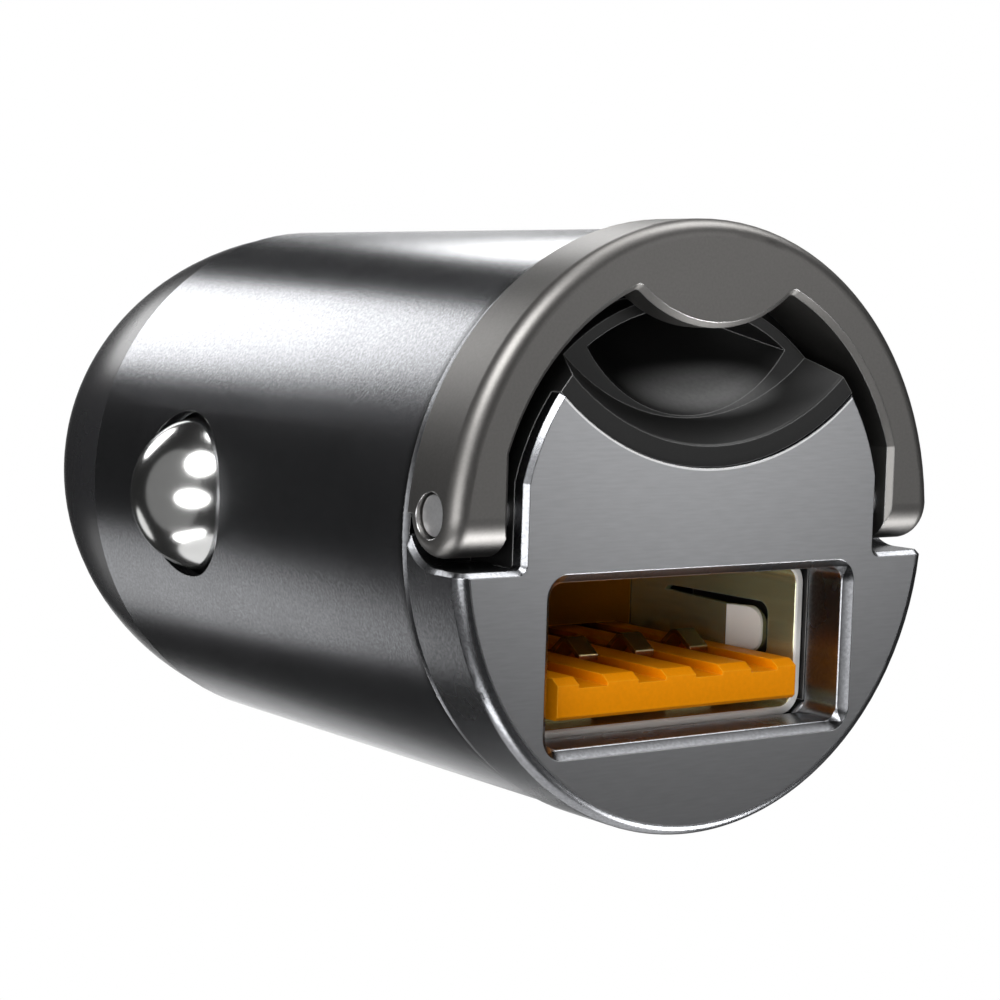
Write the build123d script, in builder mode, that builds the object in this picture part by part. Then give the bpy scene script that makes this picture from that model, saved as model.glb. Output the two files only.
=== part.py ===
from build123d import *
import math
import os

# Twelve volt socket charger plug with one USB port and a folding pull handle.
# Millimetres. The origin is the middle of the front face, +Y runs back along the
# barrel to the nose, +X is to the right as one faces the port, and +Z is up.

os.makedirs("parts", exist_ok=True)

# Fits between the pieces
seat_gap = 0.05
seam_gap = 0.03
turn_gap = 0.08
slide_gap = 0.2

# Barrel
barrel_wall = 0.56
barrel_front = 3.2
barrel_front_chamfer = 0.17
barrel_rear_chamfer = 0.1

# Front cap, a metal cup with the port in its face
cap_proud = 0.09
cap_edge = 0.45
seam_width = 0.22
spigot_wall = 0.45
spigot_length = 4.5
face_land = 0.336
neck_thickness = 0.6
face_thickness = 2.0
face_chamfer = 0.17
scoop_chamfer = 0.06
neck_side_gap = 0.59
neck_top_gap = 0.84
neck_corner = 0.2
scoop_low = 2.25
scoop_radius = 9.69

# Port cut in the front cap
port_side_gap = 0.685
port_top_gap = 0.56
port_level = -4.256
port_corner = 0.85
port_chamfer = 0.32

# Pull handle and its pins
handle_proud = 0.32
handle_thickness = 2.8
handle_width = 1.78
ear_width = 2.25
handle_edge = 0.6
handle_inner_edge = 0.2
handle_rear_edge = 0.15
lobe_depth = 1.95
lobe_radius = 5.4
lobe_thickness = 1.3
lobe_corner = 0.25
pin_height = 0.8
pin_radius = 0.69
pin_shank_radius = 0.5
pin_recess = 0.2
pin_grip = 1.54
pocket_gap = 0.35

# Inner carrier with the finger bowl
band_front = 0.12
band_width = 0.82
band_edge = 0.07
floor_depth = 1.5
floor_step = 0.83
bowl_margin = 0.08
bowl_radius = 5.49
bowl_depth = 3.6
bowl_wall = 0.41

# USB receptacle
shell_width = 12.5
shell_height = 5.12
shell_wall = 0.3
shell_corner = 0.6
shell_lip = 0.08
tongue_front = 1.25
tongue_width = 10.85
tongue_top = -4.89
tongue_bottom = -6.32
tongue_base = 11.9
tongue_block = 1.4
tongue_edge = 0.12
groove_pitch = 2.6
groove_width = 1.25
groove_depth = 0.35
groove_in_base = 1.0
ridge_drop = 0.23
ridge_run = 0.35
contact_count = 4
contact_width = 0.85
contact_sheet = 0.16
contact_slope = 1.4
contact_round = 0.28
contact_peak = 5.87
contact_peak_level = -4.17
contact_tip = 4.9
contact_heel = 6.85
side_finger_front = 3.95
side_finger_root = 9.9
side_finger_level = -4.25
side_finger_width = 1.76
side_finger_bend = 0.7
side_finger_lift = 0.55
flat_finger_front = 4.1
flat_finger_root = 9.4
flat_finger_offset = 2.8
flat_finger_width = 2.2
flat_finger_bend = 0.5
flat_finger_lift = 0.28
finger_slot = 0.2
finger_knee = 1.0
finger_tip = 1.33
finger_corner = 0.65
slot_corner = 0.5

# Main board and what it carries
board_top = -0.25
board_thickness = 1.0
board_half_width = 7.0
board_front = 5.2
board_end_gap = 1.0
board_notch = 4.1
board_waist = 3.2
board_margin = 0.3
can_radius = 2.5
can_height = 5.4
can_offset = 3.6
can_margin = 0.45
can_front_gap = 0.8
can_base = 0.8
can_base_width = 5.2
can_edge = 0.3
chip_width = 5.0
chip_length = 3.6
chip_height = 1.1
chip_edge = 0.15
coil_flange_radius = 2.6
coil_flange = 0.7
coil_height = 3.6
coil_core_radius = 1.2
coil_winding_radius = 2.2

# Ground contacts in the flanks
window_depth = 19.05
window_radius = 3.2
button_radius = 3.0
button_proud = 1.71
button_bore = 1.9
button_bore_depth = 1.0
button_flange_radius = 3.7
button_flange = 0.4

# Holder for the side springs, in two halves round the board
holder_half_width = 4.0
holder_height = 5.0
holder_length = 5.0
spring_pocket = 0.5

# Coil springs
side_spring_radius = 1.5
side_spring_wire = 0.3
side_spring_turns = 3.5
tip_spring_radius = 2.6
tip_spring_wire = 0.4
tip_spring_turns = 4
spring_facets = 14
wire_facets = 6

# Nose and centre contact
nose_step = 0.07
nose_length = 11.1
nose_end_radius = 4.4
nose_hip = 6.1
nose_hip_radius = 8.94
nose_taper = 2.4
nose_spigot = 3.2
nose_flange_gap = 0.55
nose_wall = 1.6
nose_bore_depth = 2.1
nose_lip = 1.9
tip_radius = 2.65
tip_proud = 5.0
tip_dome = 1.9
collar_radius = 3.6
collar_thickness = 1.1
tip_tail_radius = 1.6
tip_tail = 2.0
seat_radius = 4.6
seat_thickness = 0.45
seat_rivet_radius = 0.9

# Port, barrel and cap sizes that follow: the barrel just clears the port's far corner
port_width = shell_width + 2 * port_side_gap
port_height = shell_height + 2 * port_top_gap
barrel_radius = math.hypot(port_width / 2, port_height / 2 - port_level) + face_land
barrel_bore = barrel_radius - barrel_wall
cap_radius = barrel_radius + cap_proud
cap_rear = barrel_front - seam_width
spigot_radius = barrel_bore - seat_gap
spigot_bore = spigot_radius - spigot_wall
spigot_end = cap_rear + spigot_length

# Handle, neck and scoop sizes that follow
handle_radius = barrel_radius + handle_proud
handle_inner_radius = handle_radius - handle_width
ear_half_gap = handle_radius - ear_width
ear_top = math.sqrt(handle_inner_radius**2 - ear_half_gap**2)
ear_face = math.sqrt(handle_radius**2 - pin_height**2)
ear_radius = handle_thickness / 2
pin_depth = handle_thickness / 2
pocket_radius = ear_radius + pocket_gap
ledge = pin_height - pocket_radius
lobe_drop = handle_inner_radius - lobe_depth
neck_half_width = ear_half_gap - neck_side_gap
neck_radius = handle_inner_radius - neck_top_gap
pin_reach = ear_face - pin_recess
pin_root = neck_half_width - pin_grip
scoop_height = scoop_low + scoop_radius
band_radius = scoop_radius - band_width
floor_radius = band_radius - floor_step
bowl_height = scoop_height - floor_radius + bowl_margin + bowl_radius
bowl_sphere = (bowl_radius**2 + bowl_depth**2) / (2 * bowl_depth)
bowl_top_radius = neck_radius - bowl_wall
carrier_radius = spigot_bore - seat_gap

# Receptacle sizes that follow
shell_front = face_thickness + 5 * seat_gap
shell_rear = tongue_base + tongue_block + seat_gap
shell_end = shell_rear + shell_wall
shell_top = port_level + shell_height / 2
groove_floor = tongue_top - groove_depth
groove_end = tongue_base + groove_in_base
contact_end = groove_end - 2 * seat_gap

# Board, contact and nose sizes that follow
barrel_rear = window_depth + button_flange_radius + nose_flange_gap + nose_spigot
nose_radius = barrel_radius - nose_step
nose_end = barrel_rear + nose_length
nose_bore = nose_radius - nose_wall
nose_bore_end = barrel_rear + nose_bore_depth
board_bottom = board_top - board_thickness
board_middle = (board_top + board_bottom) / 2
board_rear = nose_bore_end - board_end_gap
coil_depth = board_rear - board_margin - coil_flange_radius
can_depth = window_depth - board_notch - can_margin - can_base_width / 2
carrier_end = can_depth - can_base_width / 2 - can_front_gap
button_centre = barrel_radius + button_proud - button_radius
button_flange_face = math.sqrt((barrel_bore - seat_gap) ** 2 - button_flange_radius**2)
button_bore_end = button_flange_face - button_flange + button_bore_depth
seat_front = nose_bore_end
seat_rear = seat_front + seat_thickness
collar_rear = nose_end - nose_lip
collar_front = collar_rear - collar_thickness
tip_end = nose_end + tip_proud
far = 3 * barrel_radius
REARWARD = (0, 1, 0)


def across(depth):
    """Plane across the plug, seen from the front, at a depth behind the face."""
    return Plane.XZ.offset(-depth)


def turn(points, mode=Mode.ADD):
    """Revolve a closed outline of (radius, depth) points about the plug's axis."""
    with BuildSketch(Plane.XY) as outline:
        with BuildLine():
            Polyline(*points, close=True)
        make_face()
    revolve(outline.sketch, axis=Axis.Y, mode=mode)


def finish(piece, name):
    """Label a finished piece and write its STEP file."""
    piece.part.label = name
    export_step(piece.part, "parts/" + name + ".step")


def coil_spring(name, base, length, radius, wire, turns):
    """Coil spring that stands on a base plane, its wire a mitred run of short straights."""
    steps = round(turns * spring_facets)
    rise = (length - 2 * wire) / steps
    turn_step = 2 * math.pi / spring_facets
    with BuildPart() as spring:
        with BuildLine(base) as run:
            Polyline(*[
                (radius * math.cos(i * turn_step), radius * math.sin(i * turn_step), wire + i * rise)
                for i in range(steps + 1)
            ])
        with BuildSketch(Plane(run.line @ 0, z_dir=run.line % 0)) as section:
            RegularPolygon(wire / 2, wire_facets)
        sweep(section.sketch, path=run.line, transition=Transition.RIGHT)
    finish(spring, name)


def neck_outline(depth, grow=0.0):
    """Upper part of the face: straight flanks under a round top, down to the ledge."""
    with BuildSketch(across(depth)) as outline:
        Circle(neck_radius + grow)
        Rectangle(2 * (neck_half_width + grow), far, mode=Mode.INTERSECT)
        with Locations((0, ledge)):
            Rectangle(far, far, align=(Align.CENTER, Align.MAX), mode=Mode.SUBTRACT)
    return outline.sketch


def scoop_disc(depth, radius):
    """Disc about the line that the finger scoop is turned about."""
    with BuildSketch(across(depth)) as outline:
        with Locations((0, scoop_height)):
            Circle(radius)
    return outline.sketch


# Barrel: drawn tube with a round window in each flank
with BuildPart() as barrel:
    turn([
        (barrel_bore, barrel_front),
        (barrel_radius - barrel_front_chamfer, barrel_front),
        (barrel_radius, barrel_front + barrel_front_chamfer),
        (barrel_radius, barrel_rear - barrel_rear_chamfer),
        (barrel_radius - barrel_rear_chamfer, barrel_rear),
        (barrel_bore, barrel_rear),
    ])
    with BuildSketch(Plane.YZ) as windows:
        with Locations((window_depth, 0)):
            Circle(window_radius)
    extrude(windows.sketch, amount=far, both=True, mode=Mode.SUBTRACT)
finish(barrel, "barrel")

# Front cap: cup with the face, a spigot for the barrel and the handle's pocket
with BuildPart() as front_cap:
    turn([
        (0, 0),
        (cap_radius, 0),
        (cap_radius, cap_rear),
        (spigot_radius, cap_rear),
        (spigot_radius, spigot_end),
        (spigot_bore, spigot_end),
        (spigot_bore, face_thickness),
        (0, face_thickness),
    ])
    rim = front_cap.edges().filter_by(GeomType.CIRCLE).group_by(Axis.Y)[0]
    fillet(rim, cap_edge)
    with BuildSketch(Plane.YZ) as pocket:
        with Locations((pin_depth, ledge)):
            Rectangle(far, far, align=(Align.MAX, Align.MIN))
        with Locations((pin_depth, pin_height)):
            Circle(pocket_radius)
            Rectangle(far, far, align=(Align.MIN, Align.MIN))
        with Locations((cap_rear, 0)):
            Rectangle(far, 2 * far, align=(Align.MIN, Align.CENTER), mode=Mode.SUBTRACT)
    extrude(pocket.sketch, amount=far, both=True, mode=Mode.SUBTRACT)
    with BuildSketch(across(0)) as neck:
        add(neck_outline(0))
        with Locations((0, ledge)):
            Rectangle(2 * neck_half_width, neck_thickness, align=(Align.CENTER, Align.MAX))
    extrude(neck.sketch, amount=neck_thickness, dir=REARWARD)
    with BuildSketch(across(0)) as port:
        with Locations((0, port_level)):
            RectangleRounded(
                port_width - 2 * port_chamfer,
                port_height - 2 * port_chamfer,
                port_corner - port_chamfer,
            )
    extrude(port.sketch, amount=face_thickness, dir=REARWARD, mode=Mode.SUBTRACT)
    neck_corners = front_cap.edges().filter_by(Axis.Y).filter_by(
        lambda e: abs(abs(e.center().X) - neck_half_width) < seam_gap
        and abs(e.center().Z - ledge) < seam_gap
    )
    fillet(neck_corners, neck_corner)
    with BuildSketch(across(neck_thickness)) as carrier_room:
        with Locations((0, ledge - seam_gap)):
            Rectangle(2 * (neck_half_width + seat_gap), far, align=(Align.CENTER, Align.MIN))
    extrude(carrier_room.sketch, amount=face_thickness - neck_thickness, dir=REARWARD,
            mode=Mode.SUBTRACT)
    extrude(scoop_disc(0, scoop_radius), amount=face_thickness, dir=REARWARD, mode=Mode.SUBTRACT)
    face = front_cap.faces().sort_by(Axis.Y)[0]
    port_edges = face.inner_wires()[0].edges()
    outline = face.outer_wire().edges()
    scoop_edges = outline.filter_by(
        lambda e: e.geom_type == GeomType.CIRCLE and abs(e.radius - scoop_radius) < seam_gap
    )
    rim_edges = outline.filter_by(
        lambda e: e.geom_type == GeomType.CIRCLE and abs(e.radius - cap_radius + cap_edge) < seam_gap
    )
    chamfer(port_edges, port_chamfer)
    chamfer([e for e in outline if e not in scoop_edges and e not in rim_edges], face_chamfer)
finish(front_cap, "front_cap")

# Inner carrier: black moulding with the scoop's band, the bowl and the pin holes
with BuildPart() as inner_carrier:
    extrude(neck_outline(neck_thickness + seam_gap), amount=cap_rear - neck_thickness, dir=REARWARD)
    with BuildSketch(across(band_front)) as band:
        add(neck_outline(band_front))
        add(scoop_disc(band_front, scoop_radius - seam_gap), mode=Mode.INTERSECT)
    extrude(band.sketch, amount=cap_rear - band_front, dir=REARWARD)
    with BuildSketch(across(cap_rear)) as drum:
        Circle(carrier_radius)
    extrude(drum.sketch, amount=carrier_end - cap_rear, dir=REARWARD)
    with BuildSketch(across(face_thickness + seat_gap)) as foot:
        Circle(carrier_radius)
        with Locations((0, ledge)):
            Rectangle(far, far, align=(Align.CENTER, Align.MIN), mode=Mode.SUBTRACT)
    extrude(foot.sketch, amount=cap_rear - face_thickness, dir=REARWARD)
    with BuildSketch(Plane.XY.offset(scoop_height)) as scoop:
        with BuildLine():
            Polyline(
                (0, -1),
                (band_radius + band_edge, -1),
                (band_radius + band_edge, band_front),
                (band_radius, band_front + band_edge),
                (floor_radius, floor_depth),
                (0, floor_depth),
                close=True,
            )
        make_face()
    revolve(scoop.sketch, axis=Axis((0, 0, scoop_height), (0, 1, 0)), mode=Mode.SUBTRACT)
    with BuildSketch(Plane.XY.offset(bowl_height)) as dish:
        with Locations((0, floor_depth + bowl_depth - bowl_sphere)):
            Circle(bowl_sphere)
        with Locations((0, floor_depth)):
            Rectangle(2 * far, far, align=(Align.CENTER, Align.MIN), mode=Mode.INTERSECT)
        Rectangle(far, 2 * far, align=(Align.MIN, Align.CENTER), mode=Mode.INTERSECT)
    with BuildPart(mode=Mode.SUBTRACT):
        revolve(dish.sketch, axis=Axis((0, 0, bowl_height), (0, 1, 0)))
        with BuildSketch(across(0)) as bowl_top:
            Circle(bowl_top_radius)
        extrude(bowl_top.sketch, amount=far, dir=REARWARD, mode=Mode.INTERSECT)
    with BuildSketch(across(face_thickness)) as cradle:
        with Locations((0, shell_top + shell_wall + seat_gap)):
            Rectangle(
                shell_width + 2 * shell_wall + 2 * seat_gap,
                far,
                align=(Align.CENTER, Align.MAX),
            )
    extrude(cradle.sketch, amount=far, dir=REARWARD, mode=Mode.SUBTRACT)
    with BuildSketch(across(board_front - seat_gap)) as board_slot:
        with Locations((0, board_bottom - 2 * seat_gap)):
            Rectangle(
                2 * (board_half_width + seat_gap),
                board_thickness + 3 * seat_gap,
                align=(Align.CENTER, Align.MIN),
            )
    extrude(board_slot.sketch, amount=far, dir=REARWARD, mode=Mode.SUBTRACT)
    with BuildSketch(Plane.YZ) as pin_hole:
        with Locations((pin_depth, pin_height)):
            Circle(pin_shank_radius + seam_gap)
    for side in (-1, 1):
        extrude(
            pin_hole.sketch.moved(Location((side * (pin_root - seat_gap), 0, 0))),
            amount=far,
            dir=(side, 0, 0),
            mode=Mode.SUBTRACT,
        )
finish(inner_carrier, "inner_carrier")

# Pull handle: half ring with a thumb lobe and a round ear at each end
with BuildPart() as ear_space:
    with BuildSketch(Plane.XY.offset(pin_height)) as ear:
        with BuildLine():
            side = Line((0, pin_depth + ear_radius), (ear_face - handle_edge, pin_depth + ear_radius))
            corner = TangentArc(side @ 1, (ear_face, pin_depth + ear_radius - handle_edge),
                                tangent=side % 1)
            Polyline(corner @ 1, (ear_face, pin_depth), (0, pin_depth), side @ 0)
        make_face()
    revolve(ear.sketch, axis=Axis((0, pin_depth, pin_height), (1, 0, 0)))
    mirror(about=Plane.YZ)
    with BuildSketch(across(-1)) as above:
        with Locations((0, pin_height)):
            Rectangle(far, far, align=(Align.CENTER, Align.MIN))
    extrude(above.sketch, amount=far, dir=REARWARD)

with BuildPart() as pull_handle:
    with BuildSketch(Plane.XY) as section:
        with BuildLine():
            face = Line((ear_half_gap - 1, 0), (handle_radius - handle_edge, 0))
            edge = TangentArc(face @ 1, (handle_radius, handle_edge), tangent=face % 1)
            Polyline(
                edge @ 1,
                (handle_radius, handle_thickness - handle_rear_edge),
                (handle_radius - handle_rear_edge, handle_thickness),
                (ear_half_gap - 1, handle_thickness),
                face @ 0,
            )
        make_face()
    revolve(section.sketch, axis=Axis.Y)
    with BuildSketch(across(-1)) as hollow:
        Circle(handle_inner_radius)
        with Locations((ear_half_gap, ear_top)):
            Rectangle(far, far, align=(Align.MIN, Align.MAX), mode=Mode.SUBTRACT)
        with Locations((-ear_half_gap, ear_top)):
            Rectangle(far, far, align=(Align.MAX, Align.MAX), mode=Mode.SUBTRACT)
    extrude(hollow.sketch, amount=far, dir=REARWARD, mode=Mode.SUBTRACT)
    with BuildSketch(across(0)) as lobe:
        Circle(handle_inner_radius + handle_edge)
        Circle(handle_inner_radius, mode=Mode.SUBTRACT)
        with Locations((0, lobe_drop + lobe_radius)):
            Circle(lobe_radius)
        Circle(handle_inner_radius + handle_edge, mode=Mode.INTERSECT)
        with Locations((0, lobe_drop)):
            Rectangle(4 * lobe_radius, far, align=(Align.CENTER, Align.MIN), mode=Mode.INTERSECT)
        roots = lobe.vertices().filter_by(
            lambda v: abs(math.hypot(v.X, v.Y) - handle_inner_radius) < seam_gap
            and abs(math.hypot(v.X, v.Y - lobe_drop - lobe_radius) - lobe_radius) < seam_gap
        )
        fillet(roots, lobe_corner)
    extrude(lobe.sketch, amount=lobe_thickness, dir=REARWARD)
    inner_edges = pull_handle.faces().sort_by(Axis.Y)[0].inner_wires()[0].edges()
    chamfer(inner_edges, handle_inner_edge)
    add(ear_space.part, mode=Mode.INTERSECT)
    with BuildSketch(Plane.YZ) as bore:
        with Locations((pin_depth, pin_height)):
            Circle(pin_radius + turn_gap)
    extrude(bore.sketch, amount=far, both=True, mode=Mode.SUBTRACT)
finish(pull_handle, "pull_handle")

# Hinge pins: stepped pins, the thick end flush in the ear
for name, side in (("hinge_pin_left", -1), ("hinge_pin_right", 1)):
    with BuildPart() as hinge_pin:
        with BuildSketch(Plane.YZ.offset(side * pin_root)) as shank:
            with Locations((pin_depth, pin_height)):
                Circle(pin_shank_radius)
        extrude(shank.sketch, amount=pin_reach - pin_root, dir=(side, 0, 0))
        with BuildSketch(Plane.YZ.offset(side * ear_half_gap)) as journal:
            with Locations((pin_depth, pin_height)):
                Circle(pin_radius)
        extrude(journal.sketch, amount=pin_reach - ear_half_gap, dir=(side, 0, 0))
    finish(hinge_pin, name)


def finger(root, front, bend, lift):
    """Outline of a bent spring finger as (depth, inward) points from the wall's outer face."""
    outer = [
        (root + finger_knee / 2, 0),
        (root - finger_knee / 2, 0),
        (front + finger_tip, bend),
        (front, bend - lift),
    ]
    inner = [(depth, inward + shell_wall) for depth, inward in reversed(outer)]
    return outer + inner


# USB shell: folded tin box, a spring finger in each side and two in the top and bottom
with BuildPart() as usb_shell:
    with BuildSketch(across(shell_front)) as shell_outer:
        with Locations((0, port_level)):
            RectangleRounded(
                shell_width + 2 * shell_wall,
                shell_height + 2 * shell_wall,
                shell_corner + shell_wall,
            )
    extrude(shell_outer.sketch, amount=shell_end - shell_front, dir=REARWARD)
    with BuildSketch(across(shell_front)) as shell_inner:
        with Locations((0, port_level)):
            RectangleRounded(shell_width, shell_height, shell_corner)
    extrude(shell_inner.sketch, amount=shell_rear - shell_front, dir=REARWARD, mode=Mode.SUBTRACT)
    lip = usb_shell.faces().sort_by(Axis.Y)[0].inner_wires()[0].edges()
    chamfer(lip, shell_lip)
    with BuildSketch(Plane.YZ) as side_window:
        with Locations((side_finger_root, side_finger_level)):
            RectangleRounded(
                side_finger_root - side_finger_front + finger_slot,
                side_finger_width + 2 * finger_slot,
                slot_corner,
                align=(Align.MAX, Align.CENTER),
            )
    extrude(side_window.sketch, amount=far, both=True, mode=Mode.SUBTRACT)
    with BuildSketch(Plane.XY) as flat_window:
        for column in (-1, 1):
            with Locations((column * flat_finger_offset, flat_finger_root)):
                RectangleRounded(
                    flat_finger_width + 2 * finger_slot,
                    flat_finger_root - flat_finger_front + finger_slot,
                    slot_corner,
                    align=(Align.CENTER, Align.MAX),
                )
    extrude(flat_window.sketch, amount=far, both=True, mode=Mode.SUBTRACT)
    side_profile = finger(side_finger_root, side_finger_front, side_finger_bend, side_finger_lift)
    flat_profile = finger(flat_finger_root, flat_finger_front, flat_finger_bend, flat_finger_lift)
    for side in (-1, 1):
        wall = shell_width / 2 + shell_wall
        with BuildPart() as side_finger:
            with BuildSketch(Plane.XY.offset(side_finger_level)) as bent_strip:
                with BuildLine():
                    Polyline(*[(side * (wall - u), y) for y, u in side_profile], close=True)
                make_face()
            extrude(bent_strip.sketch, amount=side_finger_width / 2, both=True)
            tip_edges = side_finger.edges().filter_by(
                lambda e: abs(e.center().Y - side_finger_front) < seam_gap
                and abs(abs(e.center().Z - side_finger_level) - side_finger_width / 2) < seam_gap
            )
            fillet(tip_edges, finger_corner)
        wall = shell_height / 2 + shell_wall
        for column in (-1, 1):
            with BuildSketch(Plane.YZ.offset(column * flat_finger_offset)) as flat_finger:
                with BuildLine():
                    Polyline(
                        *[(y, port_level + side * (wall - u)) for y, u in flat_profile],
                        close=True,
                    )
                make_face()
            extrude(flat_finger.sketch, amount=flat_finger_width / 2, both=True)
finish(usb_shell, "usb_shell")

# USB tongue: moulding with four open grooves and a block that fills the shell's end
with BuildPart() as usb_tongue:
    with BuildSketch(Plane.YZ) as blade:
        with BuildLine():
            Polyline(
                (tongue_front, tongue_top - ridge_drop),
                (tongue_front + ridge_run, tongue_top),
                (tongue_base + ridge_run, tongue_top),
                (tongue_base + ridge_run, tongue_bottom),
                (tongue_front + tongue_edge, tongue_bottom),
                (tongue_front, tongue_bottom + tongue_edge),
                close=True,
            )
        make_face()
    extrude(blade.sketch, amount=tongue_width / 2, both=True)
    with BuildSketch(across(tongue_base)) as block:
        with Locations((0, port_level)):
            RectangleRounded(
                shell_width - 2 * seat_gap,
                shell_height - 2 * seat_gap,
                shell_corner - seat_gap,
            )
    extrude(block.sketch, amount=shell_rear - seat_gap - tongue_base, dir=REARWARD)
    with BuildSketch(across(0)) as grooves:
        with Locations((0, groove_floor)):
            with GridLocations(groove_pitch, 1, contact_count, 1):
                Rectangle(groove_width, groove_depth, align=(Align.CENTER, Align.MIN))
    extrude(grooves.sketch, amount=groove_end, dir=REARWARD, mode=Mode.SUBTRACT)
finish(usb_tongue, "usb_tongue")

# USB contacts: strips that lie in the grooves and rise to a crest near the mouth
for number in range(contact_count):
    column = (number - (contact_count - 1) / 2) * groove_pitch
    flat = groove_floor + seam_gap
    steep = contact_slope * contact_sheet
    with BuildPart() as usb_contact:
        with BuildSketch(Plane.YZ.offset(column)) as strip:
            with BuildLine():
                Polyline(
                    (contact_end, flat),
                    (contact_heel - contact_sheet, flat),
                    (contact_peak, contact_peak_level - steep),
                    (contact_tip, flat + contact_sheet),
                    (contact_tip, flat + contact_sheet + steep),
                    (contact_peak, contact_peak_level),
                    (contact_heel, flat + contact_sheet),
                    (contact_end, flat + contact_sheet),
                    close=True,
                )
            make_face()
            crest = strip.vertices().filter_by(lambda v: abs(v.X - contact_peak) < seam_gap)
            fillet(crest.sort_by(Axis.Y)[-1], contact_round + contact_sheet)
            fillet(strip.vertices().filter_by(lambda v: abs(v.X - contact_peak) < seam_gap), contact_round)
        extrude(strip.sketch, amount=contact_width / 2, both=True)
    finish(usb_contact, "usb_contact_" + str(number + 1))

# Main board, waisted between the two ground contacts
with BuildPart() as main_board:
    with BuildSketch(Plane.XY.offset(board_bottom)) as board:
        with Locations((0, board_front)):
            Rectangle(2 * board_half_width, board_rear - board_front,
                      align=(Align.CENTER, Align.MIN))
        for side in (-1, 1):
            with Locations((side * (board_waist + board_half_width) / 2, window_depth)):
                Rectangle(board_half_width - board_waist, 2 * board_notch, mode=Mode.SUBTRACT)
    extrude(board.sketch, amount=board_thickness)
finish(main_board, "main_board")

# Two capacitors: rolled cans on square bases
for name, side in (("input_capacitor", 1), ("output_capacitor", -1)):
    foot = board_top + seam_gap
    with BuildPart() as can_foot:
        with BuildSketch(Plane.XY.offset(foot)) as square:
            with Locations((side * can_offset, can_depth)):
                Rectangle(can_base_width, can_base_width)
            chamfer(square.vertices().group_by(Axis.Y)[0], 2 * can_edge)
        extrude(square.sketch, amount=can_base)
    finish(can_foot, name + "_base")
    with BuildPart() as can:
        with BuildSketch(Plane.XY.offset(foot + can_base + seam_gap)) as can_end:
            with Locations((side * can_offset, can_depth)):
                Circle(can_radius)
        extrude(can_end.sketch, amount=can_height)
        chamfer(can.edges().filter_by(GeomType.CIRCLE), can_edge)
    finish(can, name)

# Converter chip on top of the board, wound coil under it
with BuildPart() as controller_chip:
    with BuildSketch(Plane.XY.offset(board_top + seam_gap)) as chip:
        with Locations((0, coil_depth)):
            Rectangle(chip_width, chip_length)
    extrude(chip.sketch, amount=chip_height)
    chamfer(controller_chip.edges().group_by(Axis.Z)[-1], chip_edge)
finish(controller_chip, "controller_chip")

coil_top = board_bottom - seam_gap
coil_axis = Axis((0, coil_depth, 0), (0, 0, 1))
with BuildPart() as inductor_core:
    with BuildSketch(Plane.YZ) as spool:
        with BuildLine():
            Polyline(
                (coil_depth, coil_top),
                (coil_depth + coil_flange_radius, coil_top),
                (coil_depth + coil_flange_radius, coil_top - coil_flange),
                (coil_depth + coil_core_radius, coil_top - coil_flange),
                (coil_depth + coil_core_radius, coil_top - coil_height + coil_flange),
                (coil_depth + coil_flange_radius, coil_top - coil_height + coil_flange),
                (coil_depth + coil_flange_radius, coil_top - coil_height),
                (coil_depth, coil_top - coil_height),
                close=True,
            )
        make_face()
    revolve(spool.sketch, axis=coil_axis)
finish(inductor_core, "inductor_core")

with BuildPart() as inductor_winding:
    with BuildSketch(Plane.XY.offset(coil_top - coil_height + coil_flange + seat_gap)) as wire_ring:
        with Locations((0, coil_depth)):
            Circle(coil_winding_radius)
            Circle(coil_core_radius + seat_gap, mode=Mode.SUBTRACT)
    extrude(wire_ring.sketch, amount=coil_height - 2 * coil_flange - 2 * seat_gap)
finish(inductor_winding, "inductor_winding")

# Spring holder: two halves that meet outside the board's waist
for name, top in (("spring_holder_top", True), ("spring_holder_bottom", False)):
    low = board_middle + seam_gap if top else -holder_height / 2
    high = holder_height / 2 if top else board_middle
    with BuildPart() as spring_holder:
        with BuildSketch(Plane.XY.offset(low)) as holder:
            with Locations((0, window_depth)):
                Rectangle(2 * holder_half_width, holder_length)
        extrude(holder.sketch, amount=high - low)
        with BuildSketch(across(0)) as waist_slot:
            with Locations((0, board_middle)):
                Rectangle(2 * (board_waist + seat_gap), board_thickness + 2 * seat_gap)
        extrude(waist_slot.sketch, amount=2 * far, dir=REARWARD, mode=Mode.SUBTRACT)
        for side in (-1, 1):
            seat = Plane.YZ.offset(side * (holder_half_width - spring_pocket))
            with BuildSketch(seat) as spring_seat_hole:
                with Locations((window_depth, 0)):
                    Circle(side_spring_radius + side_spring_wire / 2 + slide_gap / 2)
            extrude(spring_seat_hole.sketch, amount=far, dir=(side, 0, 0), mode=Mode.SUBTRACT)
    finish(spring_holder, name)

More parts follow.
